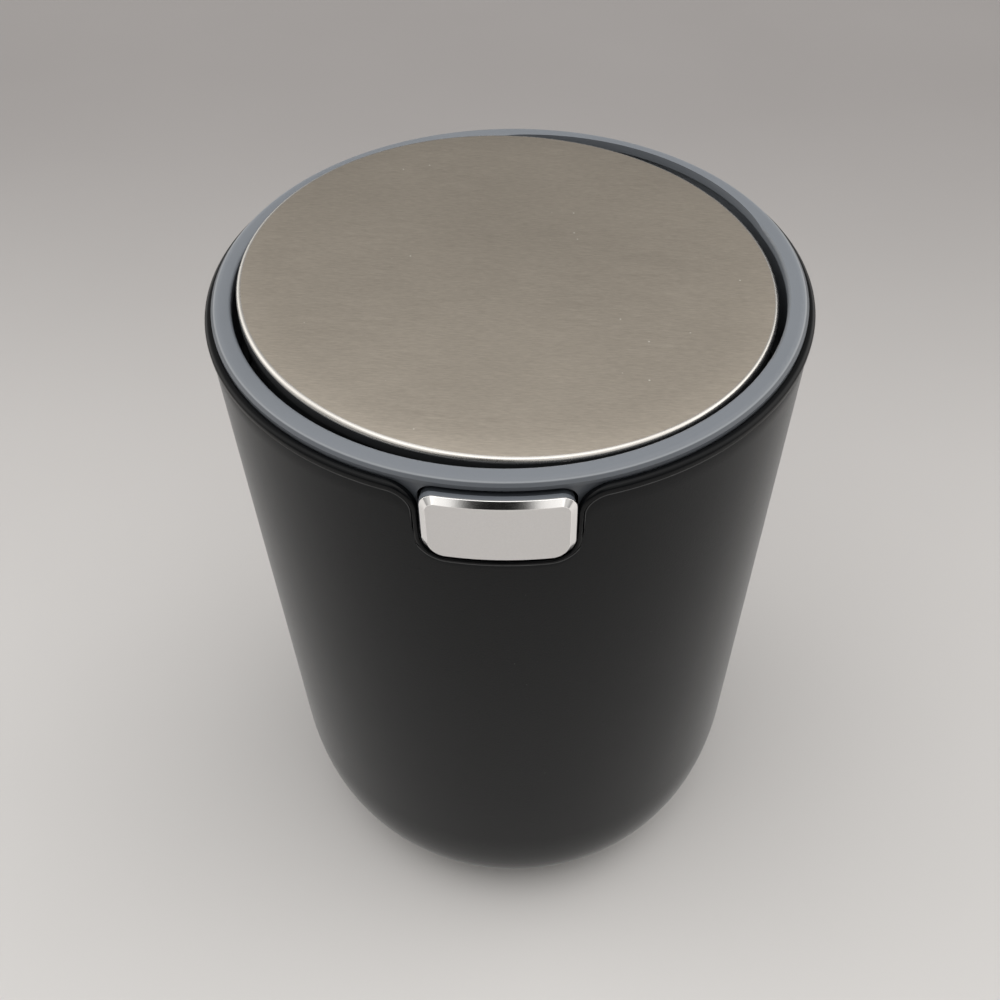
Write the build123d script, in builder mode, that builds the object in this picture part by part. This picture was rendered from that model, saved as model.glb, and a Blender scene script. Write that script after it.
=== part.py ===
from build123d import *
import os
from math import sqrt

# Mini desk trash can: a tapered plastic bucket, a lift-off ring unit and a push-button lid.
# Millimetres, +Z up, button towards -Y, origin on the surface the can stands on.

# Bucket
foot_gap = 0.6
base_radius = 33.8
low_wall_height = 36.8
top_wall_radius = 64.6
wall_taper = 3.8
rim_top = 168.2
wall = 2.4
floor_thickness = 2.6
base_curve_rise = 4.4
base_curve_run = 13.6
groove_drop = 2.0
groove_depth = 0.25
groove_half_width = 0.25
rim_proud = 0.4
bead_radius = 1.0
bead_start_angle = -45
rebate_wall = 1.2
rebate_height = 21.2

# Notch in the bucket wall for the button, and the raised lip around it
notch_half_width = 14.8
notch_depth = 16.7
notch_corner_radius = 5.0
notch_flare_radius = 5.7
notch_flare_rise = 0.2
lip_width = 1.4
lip_proud = 0.4

# Rubber pad under the bucket
foot_pad_inset = 4.8
foot_pocket_depth = 1.0

# Grey ring
ring_rise = 2.0
ring_lip_width = 4.3
ring_edge_inset = 1.6
ring_seat_gap = 0.3
ring_lip_thickness = 2.0
ring_crown_radius = 1.1
ring_bevel_drop = 0.9
ring_bevel_run = 0.6
ring_inner_round = 0.5
skirt_wall = 1.8
skirt_gap = 0.3
hinge_relief = 1.3
hinge_relief_tighter = 4.1
hinge_relief_angle = 33.0

# Screw lugs inside the ring, and their screws
lug_inset = 2.5
lug_radius = 3.6
lug_height = 8.0
lug_count = 4
lug_start_angle = 45
screw_shank_radius = 1.1
screw_head_radius = 2.4
screw_head_height = 1.4
screw_recess_width = 0.6
screw_recess_depth = 0.6
screw_fit = 0.03
frame_screw_bite = 4.5

# Black inner frame under the ring
frame_lift = 0.6
frame_thickness = 2.0
frame_play = 0.44
frame_hem_wall = 2.0
frame_hem_height = 2.4
frame_floor_width = 18.9
throat_wall = 1.6
throat_height = 8.9

# Lid: it sits slightly askew in the ring, as photographed
lid_rise = 0.75
lid_roll = 2.46
lid_pitch = 0.3
lid_gap = 1.5
lid_edge_radius = 1.2
cap_thickness = 0.5
cap_depth = 3.0
liner_play = 0.15
liner_plate = 1.8
liner_wall = 2.0
liner_depth = 7.0
underplate_thickness = 1.2
underplate_play = 0.3
underplate_hinge_gap = 8.5
lid_boss_radius = 3.0
lid_boss_inset_x = 27.6
lid_boss_inset_y = 33.6
lid_screw_bite = 3.4

# Rubber stops under the lid and the posts they come down on
stop_inset_x = 23.6
stop_inset_y = 21.6
stop_radius = 3.0
stop_height = 1.5
stop_gap = 0.3
post_radius = 3.4

# Hinge at the rear, just under the lid's top
hinge_inset = 7.6
hinge_depth = 2.6
pin_radius = 1.0
pin_half_length = 19.6
pin_running_fit = 0.05
pin_seat_fit = 0.02
barrel_radius = 1.8
ear_inner = 10.5
ear_width = 3.0
ear_neck_half_width = 1.5
ear_foot_half_width = 5.5
ear_foot_height = 7.9
knuckle_width = 4.0
knuckle_play = 0.4
clip_radius = 1.8
clip_thickness = 0.8
clip_gap = 0.15
slot_play = 0.35

# Torsion spring on the hinge pin
spring_outer_radius = 1.95
spring_inner_radius = 1.25
spring_half_length = 5.2
spring_wire = 0.6
spring_lid_leg = 12.0
spring_seat_width = 2.0
spring_frame_leg_gap = 2.6

# Button: bright plate on a grey body
button_half_width = 14.4
button_lower_gap = 0.4
button_upper_gap = 0.4
button_top_corner = 3.0
button_bottom_corner = 6.0
button_body_thickness = 2.5
button_body_proud = 0.1
button_body_margin = 0.1
plate_thickness = 1.4
plate_bevel = 1.15
button_gap = 0.35

# Latch hook behind the button
hook_plate_setback = 1.7
hook_plate_thickness = 1.6
hook_plate_half_width = 12.4
hook_plate_rise = 1.7
hook_plate_height = 7.0
hook_boss_x = 9.9
hook_boss_radius = 2.2
hook_screw_head_radius = 1.9
hook_screw_head_height = 1.0
hook_screw_shank_radius = 0.9
hook_screw_bite = 2.6
arm_inner = 5.6
arm_width = 1.6
arm_rise = 2.3
arm_height = 3.1
hook_bar_thickness = 1.6
keeper_clearance = 0.3

# Keeper under the lid's front, which the latch hook holds
keeper_half_width = 4.6
keeper_gap = 1.5
keeper_thickness = 2.0
keeper_depth = 15.8
keeper_tooth_height = 1.6
keeper_tooth_reach = 1.2
keeper_slot_play = 0.4

# Guide block for the latch arms, and the button's return spring
return_spring_length = 5.2
guide_wall_thickness = 1.6
guide_half_width = 14.0
guide_base_thickness = 1.6
guide_base_depth = 7.1
guide_wall_rise = 1.4
guide_slot_play = 0.3
guide_screw_x = 11.0
guide_screw_bite = 3.2
spring_pip_radius = 2.2
spring_pip_length = 1.5
return_spring_outer_radius = 3.0
return_spring_inner_radius = 2.4
cut_reach = 15.0


# Bucket, notch and ring worked out from the sizes above
groove_height = rim_top - groove_drop
ledge_height = rim_top - rebate_height
notch_bottom = rim_top - notch_depth
ring_top = rim_top + ring_rise
ring_underside = rim_top + ring_seat_gap
rim_radius = top_wall_radius + rim_proud
ring_edge_radius = rim_radius - ring_edge_inset
ring_opening_radius = ring_edge_radius - ring_lip_width
low_wall_radius = top_wall_radius - wall_taper
wall_slope = wall_taper / (groove_height - low_wall_height)
floor_top = foot_gap + floor_thickness
foot_pad_radius = base_radius - foot_pad_inset


def wall_radius(height):
    """Outer radius of the bucket's straight wall at a height."""
    return top_wall_radius - wall_slope * (groove_height - height)


def rebate_radius(height):
    """Inner radius of the thinner wall that the ring's skirt drops into."""
    return wall_radius(height) - rebate_wall


def skirt_radius(height):
    """Outer radius of the ring's skirt at a height."""
    return rebate_radius(height) - skirt_gap


# Inner frame and its lugs, inside the skirt
frame_floor = ledge_height + frame_lift
frame_top = frame_floor + frame_thickness
frame_radius = skirt_radius(ledge_height) - skirt_wall - frame_play
lug_circle_radius = frame_radius - lug_inset
throat_radius = frame_radius - frame_floor_width
throat_outer_radius = throat_radius + throat_wall

# Lid and hinge, inside the ring
lid_height = ring_top + lid_rise
lid_radius = ring_opening_radius - lid_gap
lid_plane = Plane.XY.offset(lid_height).rotated((lid_pitch, lid_roll, 0))
lid_axis = Axis(lid_plane.origin, lid_plane.z_dir)
lid_section = Plane(lid_plane.origin, x_dir=lid_plane.x_dir, z_dir=-lid_plane.y_dir)
lid_boss_x = lid_radius - lid_boss_inset_x
lid_boss_y = lid_radius - lid_boss_inset_y
stop_x = lid_radius - stop_inset_x
stop_y = stop_inset_y - lid_radius
liner_radius = lid_radius - cap_thickness - liner_play
liner_edge_radius = lid_edge_radius - cap_thickness
liner_plate_bottom = cap_thickness + liner_plate
underplate_bottom = liner_depth + underplate_thickness
hinge_y = lid_radius - hinge_inset
underplate_rear = hinge_y - underplate_hinge_gap
hinge_centre = lid_plane.from_local_coords((0, hinge_y, -hinge_depth))
hinge_plane = Plane(hinge_centre, x_dir=lid_plane.y_dir, z_dir=lid_plane.x_dir)
ear_outer = ear_inner + ear_width
knuckle_end = ear_outer + knuckle_play + knuckle_width
hinge_relief_radius = ring_opening_radius - hinge_relief_tighter

# Button, latch hook, guide and keeper, from the button's face inwards
button_bottom = notch_bottom + button_lower_gap
button_top = rim_top - button_upper_gap
button_body_front = rim_radius + button_body_proud
button_body_back = button_body_front - button_body_thickness
plate_front = button_body_front + plate_thickness
reach = plate_front + cut_reach
hook_plate_front = hook_plate_setback - button_body_back
hook_plate_back = hook_plate_front + hook_plate_thickness
hook_plate_bottom = button_bottom + hook_plate_rise
hook_plate_top = hook_plate_bottom + hook_plate_height
hook_z = (hook_plate_bottom + hook_plate_top) / 2
arm_bottom = hook_plate_bottom + arm_rise
arm_top = arm_bottom + arm_height
arm_z = (arm_bottom + arm_top) / 2
guide_wall_front = hook_plate_back + return_spring_length
guide_wall_back = guide_wall_front + guide_wall_thickness
guide_wall_top = arm_top + guide_wall_rise
guide_base_top = frame_top + guide_base_thickness
guide_base_rear = guide_wall_front + guide_base_depth
guide_screw_y = (guide_wall_back + guide_base_rear) / 2
keeper_y = guide_wall_back + keeper_gap
hook_bar_front = keeper_y + keeper_thickness + keeper_tooth_reach + keeper_clearance
hook_bar_back = hook_bar_front + hook_bar_thickness


def lid_plane_height(x, y):
    """Height of the lid's top plane above a point of the floor."""
    tilt = lid_plane.z_dir
    return lid_height - (tilt.X * x + tilt.Y * y) / tilt.Z


def mirrored_range(side, near, far):
    """Limits in X of a feature on the right (side 1) or the left (side -1)."""
    return (near, far) if side > 0 else (-far, -near)


def add_screw(seat, head_radius, head_height, shank_radius, bite):
    """Add one cross-head screw, its head standing on the seat plane and its shank below."""
    with BuildSketch(seat) as head:
        Circle(head_radius)
    extrude(head.sketch, amount=head_height)
    with BuildSketch(seat) as shank:
        Circle(shank_radius)
    extrude(shank.sketch, amount=-bite)
    with BuildSketch(seat.offset(head_height)) as cross:
        Rectangle(head_radius, screw_recess_width)
        Rectangle(screw_recess_width, head_radius)
    extrude(cross.sketch, amount=-screw_recess_depth, mode=Mode.SUBTRACT)


def add_block(x_range, y_range, z_range, mode=Mode.ADD):
    """Add or cut a block between three pairs of limits."""
    centre = ((x_range[0] + x_range[1]) / 2, (y_range[0] + y_range[1]) / 2)
    with BuildSketch(Plane.XY.offset(z_range[0])) as footprint:
        with Locations(centre):
            Rectangle(x_range[1] - x_range[0], y_range[1] - y_range[0])
    extrude(footprint.sketch, amount=z_range[1] - z_range[0], mode=mode)


def add_lid_block(x_range, y_range, depth_range, mode=Mode.ADD):
    """Add or cut a block in the lid's own frame, depths measured down from its top."""
    centre = ((x_range[0] + x_range[1]) / 2, (y_range[0] + y_range[1]) / 2)
    with BuildSketch(lid_plane.offset(-depth_range[0])) as footprint:
        with Locations(centre):
            Rectangle(x_range[1] - x_range[0], y_range[1] - y_range[0])
    extrude(footprint.sketch, amount=depth_range[0] - depth_range[1], mode=mode)


def notch_face(grow, top, flare_radius):
    """Draw the button's notch, grown by a margin, open at the given height."""
    half = notch_half_width + grow
    low = notch_bottom - grow
    outer = half + 2 * flare_radius
    corner = notch_corner_radius + grow
    with BuildLine() as outline:
        FilletPolyline((0, low), (half, low), (half, top), (outer, top), radius=[corner, flare_radius])
        Polyline((outer, top), (outer, ring_top), (0, ring_top))
        mirror(about=Plane.YZ)
    make_face(outline.edges())


def button_face(grow):
    """Draw the button's outline, grown by a margin."""
    half = button_half_width + grow
    low = button_bottom - grow
    high = button_top + grow
    corners = [button_bottom_corner + grow, button_top_corner + grow]
    with BuildLine() as outline:
        FilletPolyline((0, low), (half, low), (half, high), (0, high), radius=corners)
        mirror(about=Plane.YZ)
    make_face(outline.edges())


def add_band(inner_radius, outer_radius, low, high):
    """Add an upright ring between two radii and two heights."""
    with BuildSketch(Plane.XY.offset(low)) as band:
        Circle(outer_radius)
        Circle(inner_radius, mode=Mode.SUBTRACT)
    extrude(band.sketch, amount=high - low)


os.makedirs("parts", exist_ok=True)


# Raised lip that follows the notch, made first and joined to the bucket
lip_low = notch_bottom - 2 * lip_width
lip_high = rim_top - bead_radius
with BuildPart() as notch_lip:
    with BuildSketch(Plane.XZ):
        with BuildLine():
            Polyline(
                (rebate_radius(lip_low), lip_low),
                (wall_radius(lip_low) + lip_proud, lip_low),
                (wall_radius(lip_high) + lip_proud, lip_high),
                (rebate_radius(lip_high), lip_high),
                close=True,
            )
        make_face()
    revolve(axis=Axis.Z)
    with BuildSketch(Plane.XZ):
        notch_face(lip_width, groove_height, notch_flare_radius - lip_width)
    extrude(amount=reach, mode=Mode.INTERSECT)
    with BuildSketch(Plane.XZ):
        notch_face(0, rim_top + notch_flare_rise, notch_flare_radius)
    extrude(amount=reach, mode=Mode.SUBTRACT)

# Bucket: thin tapered wall, rounded foot, beaded rim and a rebate for the ring's skirt
bead_centre = (rim_radius - bead_radius, rim_top - bead_radius)
groove_low = groove_height - groove_half_width
with BuildPart() as bucket:
    with BuildSketch(Plane.XZ):
        with BuildLine():
            Line((0, foot_gap), (base_radius, foot_gap))
            Bezier(
                (base_radius, foot_gap),
                (base_radius + base_curve_run, foot_gap),
                (low_wall_radius - wall_slope * (low_wall_height - base_curve_rise), base_curve_rise),
                (low_wall_radius, low_wall_height),
            )
            bead = CenterArc(bead_centre, bead_radius, bead_start_angle, 90 - bead_start_angle)
            Polyline(
                (low_wall_radius, low_wall_height),
                (wall_radius(groove_low), groove_low),
                (wall_radius(groove_height) - groove_depth, groove_height),
                bead @ 0,
            )
            Polyline(
                bead @ 1,
                (rebate_radius(rim_top), rim_top),
                (rebate_radius(ledge_height), ledge_height),
                (wall_radius(ledge_height) - wall, ledge_height),
                (low_wall_radius - wall, low_wall_height),
            )
            Bezier(
                (low_wall_radius - wall, low_wall_height),
                (low_wall_radius - wall - wall_slope * low_wall_height, floor_top + base_curve_rise),
                (base_radius + base_curve_run, floor_top),
                (base_radius, floor_top),
            )
            Polyline((base_radius, floor_top), (0, floor_top), (0, foot_gap))
        make_face()
    revolve(axis=Axis.Z)
    with BuildSketch(Plane.XZ):
        notch_face(0, rim_top + notch_flare_rise, notch_flare_radius)
    extrude(amount=reach, mode=Mode.SUBTRACT)
    add(notch_lip.part)
    with BuildSketch(Plane.XY.offset(foot_gap)):
        Circle(foot_pad_radius)
    extrude(amount=foot_pocket_depth, mode=Mode.SUBTRACT)
bucket.part.label = "bucket"
export_step(bucket.part, "parts/bucket.step")

# Round rubber pad the can stands on, set in a shallow pocket
with BuildPart() as foot_pad:
    with BuildSketch(Plane.XY):
        Circle(foot_pad_radius)
    extrude(amount=foot_gap + foot_pocket_depth)
foot_pad.part.label = "foot_pad"
export_step(foot_pad.part, "parts/foot_pad.step")

# Grey ring: a flat lip with a rounded crown and bevelled edge, on a skirt inside the bucket
crown_top = (ring_edge_radius - ring_bevel_run, ring_top - ring_crown_radius / 4)
lip_underside = ring_top - ring_lip_thickness
with BuildPart() as rim_ring:
    with BuildSketch(Plane.XZ) as ring_profile:
        with BuildLine():
            Polyline(
                (ring_opening_radius, lip_underside),
                (ring_opening_radius, ring_top),
                (crown_top[0] - ring_crown_radius, ring_top),
            )
            ThreePointArc(
                (crown_top[0] - ring_crown_radius, ring_top),
                (crown_top[0] - ring_crown_radius / 2, ring_top - ring_crown_radius / 16),
                crown_top,
            )
            Polyline(
                crown_top,
                (ring_edge_radius, ring_top - ring_bevel_drop),
                (ring_edge_radius, ring_underside),
                (skirt_radius(ring_underside), ring_underside),
                (skirt_radius(ledge_height), ledge_height),
                (skirt_radius(ledge_height) - skirt_wall, ledge_height),
                (skirt_radius(lip_underside) - skirt_wall, lip_underside),
                (ring_opening_radius, lip_underside),
            )
        make_face()
        top_inner = ring_profile.vertices().sort_by_distance((ring_opening_radius, ring_top))[0]
        fillet(top_inner, ring_inner_round)
    revolve(axis=Axis.Z)
    relief_centre = ring_opening_radius + hinge_relief - hinge_relief_radius
    with BuildSketch(Plane.XY.offset(lip_underside)):
        with PolarLocations(relief_centre, 1, start_angle=90 - hinge_relief_angle):
            Circle(hinge_relief_radius)
    extrude(amount=reach, mode=Mode.SUBTRACT)
    with BuildSketch(Plane.XY.offset(frame_top)):
        with PolarLocations(lug_circle_radius, lug_count, start_angle=lug_start_angle):
            Circle(lug_radius)
            Circle(screw_shank_radius + screw_fit, mode=Mode.SUBTRACT)
    extrude(amount=lug_height)
    with BuildSketch(Plane.XZ):
        button_face(button_gap)
    extrude(amount=reach, mode=Mode.SUBTRACT)
rim_ring.part.label = "rim_ring"
export_step(rim_ring.part, "parts/rim_ring.step")

# Inner frame: a floor around the throat, two hinge ears at the rear, two posts for the lid's stops
guide_screw_places = [(-guide_screw_x, guide_screw_y), (guide_screw_x, guide_screw_y)]
with BuildPart() as inner_frame:
    add_band(throat_radius, frame_radius, frame_floor, frame_top)
    add_band(throat_radius, throat_outer_radius, frame_floor, frame_top + throat_height)
    add_band(frame_radius - frame_hem_wall, frame_radius, frame_floor, frame_top + frame_hem_height)
    for side in (-1, 1):
        ear_start = side * (ear_inner + ear_width / 2) - ear_width / 2
        ear_drop = hinge_centre.Z - frame_top + frame_thickness / 2
        foot_drop = hinge_centre.Z - frame_top - ear_foot_height
        with BuildSketch(hinge_plane.offset(ear_start)):
            Circle(barrel_radius)
            with BuildLine():
                Polyline(
                    (-ear_neck_half_width, 0),
                    (-ear_neck_half_width, -foot_drop),
                    (-ear_foot_half_width, -ear_drop),
                    (ear_foot_half_width, -ear_drop),
                    (ear_neck_half_width, -foot_drop),
                    (ear_neck_half_width, 0),
                    close=True,
                )
            make_face()
            Circle(pin_radius + pin_seat_fit, mode=Mode.SUBTRACT)
        extrude(amount=ear_width)
        post_top = lid_plane_height(side * stop_x, stop_y) - underplate_bottom - stop_height - stop_gap
        with BuildSketch(Plane.XY.offset(frame_top)):
            with Locations((side * stop_x, stop_y)):
                Circle(post_radius)
        extrude(amount=post_top - frame_top)
    with BuildSketch(Plane.XY.offset(frame_floor)):
        with PolarLocations(lug_circle_radius, lug_count, start_angle=lug_start_angle):
            Circle(screw_shank_radius + screw_fit)
        with Locations(guide_screw_places):
            Circle(screw_shank_radius + screw_fit)
    extrude(amount=frame_thickness, mode=Mode.SUBTRACT)
    with BuildSketch(Plane.XY.offset(frame_top)):
        with PolarLocations(lug_circle_radius, lug_count, start_angle=lug_start_angle):
            Circle(lug_radius + screw_fit)
    extrude(amount=frame_hem_height, mode=Mode.SUBTRACT)
inner_frame.part.label = "inner_frame"
export_step(inner_frame.part, "parts/inner_frame.step")

# Four screws up through the inner frame into the ring's lugs
with BuildPart() as frame_screws:
    for place in PolarLocations(lug_circle_radius, lug_count, start_angle=lug_start_angle):
        seat = Plane((place.position.X, place.position.Y, frame_floor), z_dir=(0, 0, -1))
        add_screw(
            seat, screw_head_radius, screw_head_height, screw_shank_radius,
            frame_thickness + frame_screw_bite,
        )
frame_screws.part.label = "frame_screws"
export_step(frame_screws.part, "parts/frame_screws.step")

# Steel hinge pin through both ears
with BuildPart() as hinge_pin:
    with BuildSketch(hinge_plane.offset(-pin_half_length)):
        Circle(pin_radius)
    extrude(amount=2 * pin_half_length)
hinge_pin.part.label = "hinge_pin"
export_step(hinge_pin.part, "parts/hinge_pin.step")

# Push-on clips that keep the pin from sliding out
clip_start = knuckle_end + clip_gap
with BuildPart() as pin_clips:
    for clip_place in (clip_start, -clip_start - clip_thickness):
        with BuildSketch(hinge_plane.offset(clip_place)):
            Circle(clip_radius)
            Circle(pin_radius + pin_seat_fit, mode=Mode.SUBTRACT)
        extrude(amount=clip_thickness)
pin_clips.part.label = "pin_clips"
export_step(pin_clips.part, "parts/pin_clips.step")

# Torsion spring around the pin: one leg under the lid, the other down on the inner frame
leg_radius = spring_wire / 2
coil_radius = (spring_outer_radius + spring_inner_radius) / 2
leg_x = spring_half_length - spring_wire
lid_leg_start = hinge_plane.from_local_coords((0, -coil_radius, leg_x))
frame_leg_start = hinge_plane.from_local_coords((coil_radius, 0, -leg_x))
frame_leg_length = frame_leg_start.Z - frame_top - spring_frame_leg_gap
with BuildPart() as torsion_spring:
    with BuildSketch(hinge_plane.offset(-spring_half_length)):
        Circle(spring_outer_radius)
        Circle(spring_inner_radius, mode=Mode.SUBTRACT)
    extrude(amount=2 * spring_half_length)
    with BuildSketch(Plane(lid_leg_start, x_dir=lid_plane.x_dir, z_dir=-lid_plane.y_dir)):
        Circle(leg_radius)
    extrude(amount=spring_lid_leg)
    with BuildSketch(Plane(frame_leg_start, x_dir=lid_plane.x_dir, z_dir=-lid_plane.z_dir)):
        Circle(leg_radius)
    extrude(amount=frame_leg_length)
torsion_spring.part.label = "torsion_spring"
export_step(torsion_spring.part, "parts/torsion_spring.step")

# Guide block on the inner frame: the latch arms run through its wall, the spring sits on its pip
with BuildPart() as button_guide:
    add_block(
        (-guide_half_width, guide_half_width), (guide_wall_front, guide_base_rear),
        (frame_top, guide_base_top),
    )
    add_block(
        (-guide_half_width, guide_half_width), (guide_wall_front, guide_wall_back),
        (guide_base_top, guide_wall_top),
    )
    for side in (-1, 1):
        add_block(
            mirrored_range(side, arm_inner - guide_slot_play, arm_inner + arm_width + guide_slot_play),
            (guide_wall_front, guide_wall_back),
            (arm_bottom - guide_slot_play, arm_top + guide_slot_play), Mode.SUBTRACT,
        )
    with BuildSketch(Plane.XZ.offset(-guide_wall_front)):
        with Locations((0, arm_z)):
            Circle(spring_pip_radius)
    extrude(amount=spring_pip_length)
    with BuildSketch(Plane.XY.offset(frame_top)):
        with Locations(guide_screw_places):
            Circle(screw_shank_radius + screw_fit)
    extrude(amount=guide_base_thickness, mode=Mode.SUBTRACT)
button_guide.part.label = "button_guide"
export_step(button_guide.part, "parts/button_guide.step")

# Two screws that hold the guide block down
with BuildPart() as guide_screws:
    for place_x, place_y in guide_screw_places:
        add_screw(
            Plane((place_x, place_y, guide_base_top)), screw_head_radius, screw_head_height,
            screw_shank_radius, guide_screw_bite,
        )
guide_screws.part.label = "guide_screws"
export_step(guide_screws.part, "parts/guide_screws.step")

# Return spring that pushes the button out
with BuildPart() as return_spring:
    with BuildSketch(Plane.XZ.offset(-guide_wall_front)):
        with Locations((0, arm_z)):
            Circle(return_spring_outer_radius)
            Circle(return_spring_inner_radius, mode=Mode.SUBTRACT)
    extrude(amount=return_spring_length)
return_spring.part.label = "return_spring"
export_step(return_spring.part, "parts/return_spring.step")

# Brushed steel lid cap with a rolled edge
with BuildPart() as lid_cap:
    with BuildSketch(lid_section) as cap_profile:
        with BuildLine():
            Polyline(
                (0, 0), (lid_radius, 0), (lid_radius, -cap_depth),
                (lid_radius - cap_thickness, -cap_depth), (lid_radius - cap_thickness, -cap_thickness),
                (0, -cap_thickness), close=True,
            )
        make_face()
        outer_corner = cap_profile.vertices().sort_by_distance((lid_radius, 0))[0]
        fillet(outer_corner, lid_edge_radius)
        inner_corner = cap_profile.vertices().sort_by_distance(
            (lid_radius - cap_thickness, -cap_thickness)
        )[0]
        fillet(inner_corner, lid_edge_radius - cap_thickness)
    revolve(axis=lid_axis)
lid_cap.part.label = "lid_cap"
export_step(lid_cap.part, "parts/lid_cap.step")

# Plastic liner inside the cap: hinge knuckles at the rear, latch keeper at the front
lid_boss_places = [(x, y) for x in (-lid_boss_x, lid_boss_x) for y in (-lid_boss_y, lid_boss_y)]
knuckle_starts = [
    knuckle_end - knuckle_width, -knuckle_end,
    ear_inner - knuckle_play - knuckle_width, -ear_inner + knuckle_play,
]
keeper_back = keeper_y + keeper_thickness
with BuildPart() as lid_liner:
    with BuildSketch(lid_section) as liner_profile:
        with BuildLine():
            Polyline(
                (0, -cap_thickness), (liner_radius, -cap_thickness), (liner_radius, -liner_depth),
                (liner_radius - liner_wall, -liner_depth),
                (liner_radius - liner_wall, -liner_plate_bottom), (0, -liner_plate_bottom),
                close=True,
            )
        make_face()
        outer_corner = liner_profile.vertices().sort_by_distance((liner_radius, -cap_thickness))[0]
        fillet(outer_corner, liner_edge_radius + liner_play)
    revolve(axis=lid_axis)
    with BuildSketch(lid_plane.offset(-liner_plate_bottom)):
        with Locations(lid_boss_places):
            Circle(lid_boss_radius)
    extrude(amount=liner_plate_bottom - liner_depth)
    slot_room = barrel_radius + slot_play
    clip_room = clip_radius + slot_play
    for side in (-1, 1):
        add_lid_block(
            mirrored_range(side, ear_inner - slot_play, ear_outer + slot_play),
            (hinge_y - slot_room, lid_radius), (cap_thickness, liner_depth), Mode.SUBTRACT,
        )
        add_lid_block(
            mirrored_range(side, knuckle_end, pin_half_length + slot_play),
            (hinge_y - clip_room, hinge_y + clip_room), (cap_thickness, liner_depth), Mode.SUBTRACT,
        )
    spring_room = spring_outer_radius + slot_play
    add_lid_block(
        (-spring_half_length - slot_play, spring_half_length + slot_play),
        (hinge_y - spring_room, hinge_y + spring_room), (cap_thickness, liner_depth), Mode.SUBTRACT,
    )
    for knuckle_start in knuckle_starts:
        with BuildSketch(hinge_plane.offset(knuckle_start)):
            Circle(barrel_radius)
            with Locations((0, (hinge_depth - cap_thickness) / 2)):
                Rectangle(2 * barrel_radius, hinge_depth - cap_thickness)
            Circle(pin_radius + pin_running_fit, mode=Mode.SUBTRACT)
        extrude(amount=knuckle_width)
    with BuildSketch(hinge_plane.offset(-pin_half_length)):
        Circle(pin_radius + pin_running_fit)
    extrude(amount=2 * pin_half_length, mode=Mode.SUBTRACT)
    spring_seat_y = hinge_y - spring_lid_leg
    add_lid_block(
        (leg_x - spring_seat_width, leg_x + spring_seat_width),
        (spring_seat_y, spring_seat_y + spring_seat_width),
        (liner_plate_bottom, hinge_depth + coil_radius - leg_radius),
    )
    add_lid_block(
        (-keeper_half_width, keeper_half_width), (keeper_y, keeper_back),
        (liner_plate_bottom, keeper_depth),
    )
    add_lid_block(
        (-keeper_half_width, keeper_half_width), (keeper_back, keeper_back + keeper_tooth_reach),
        (keeper_depth - keeper_tooth_height, keeper_depth),
    )
    with BuildSketch(lid_plane.offset(-liner_depth)):
        with Locations(lid_boss_places):
            Circle(screw_shank_radius + screw_fit)
    extrude(amount=lid_screw_bite, mode=Mode.SUBTRACT)
lid_liner.part.label = "lid_liner"
export_step(lid_liner.part, "parts/lid_liner.step")

# Flat cover under the liner, open at the hinge and around the keeper
with BuildPart() as lid_underplate:
    with BuildSketch(lid_plane.offset(-liner_depth)):
        Circle(liner_radius - underplate_play)
        with Locations((0, underplate_rear + lid_radius)):
            Rectangle(4 * lid_radius, 2 * lid_radius, mode=Mode.SUBTRACT)
        with Locations((0, keeper_y + (keeper_thickness + keeper_tooth_reach) / 2)):
            Rectangle(
                2 * (keeper_half_width + keeper_slot_play),
                keeper_thickness + keeper_tooth_reach + 2 * keeper_slot_play, mode=Mode.SUBTRACT,
            )
        with Locations(lid_boss_places):
            Circle(screw_shank_radius + screw_fit, mode=Mode.SUBTRACT)
    extrude(amount=-underplate_thickness)
lid_underplate.part.label = "lid_underplate"
export_step(lid_underplate.part, "parts/lid_underplate.step")

# Four screws up through the cover into the liner
with BuildPart() as lid_screws:
    for place_x, place_y in lid_boss_places:
        centre = lid_plane.from_local_coords((place_x, place_y, -underplate_bottom))
        add_screw(
            Plane(centre, x_dir=lid_plane.x_dir, z_dir=-lid_plane.z_dir), screw_head_radius,
            screw_head_height, screw_shank_radius, underplate_thickness + lid_screw_bite - liner_play,
        )
lid_screws.part.label = "lid_screws"
export_step(lid_screws.part, "parts/lid_screws.step")

# Two rubber stops that soften the lid's closing
with BuildPart() as lid_stops:
    with BuildSketch(lid_plane.offset(-underplate_bottom)):
        with Locations((-stop_x, stop_y), (stop_x, stop_y)):
            Circle(stop_radius)
    extrude(amount=-stop_height)
lid_stops.part.label = "lid_stops"
export_step(lid_stops.part, "parts/lid_stops.step")

# Grey button body, curved with the bucket, with two screw bosses behind it
hook_boss_places = [(-hook_boss_x, hook_z), (hook_boss_x, hook_z)]
boss_root = sqrt(button_body_back ** 2 - hook_boss_x ** 2)
with BuildPart() as button_body:
    add_band(
        button_body_back, button_body_front,
        button_bottom - button_body_margin, button_top + button_body_margin,
    )
    with BuildSketch(Plane.XZ):
        button_face(button_body_margin)
    extrude(amount=reach, mode=Mode.INTERSECT)
    with BuildSketch(Plane.XZ.offset(-hook_plate_front)):
        with Locations(hook_boss_places):
            Circle(hook_boss_radius)
    extrude(amount=boss_root + hook_plate_front + (button_body_front - button_body_back) / 2)
    with BuildSketch(Plane.XZ.offset(-hook_plate_front)):
        with Locations(hook_boss_places):
            Circle(hook_screw_shank_radius + screw_fit)
    extrude(amount=hook_screw_bite, mode=Mode.SUBTRACT)
button_body.part.label = "button_body"
export_step(button_body.part, "parts/button_body.step")

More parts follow.
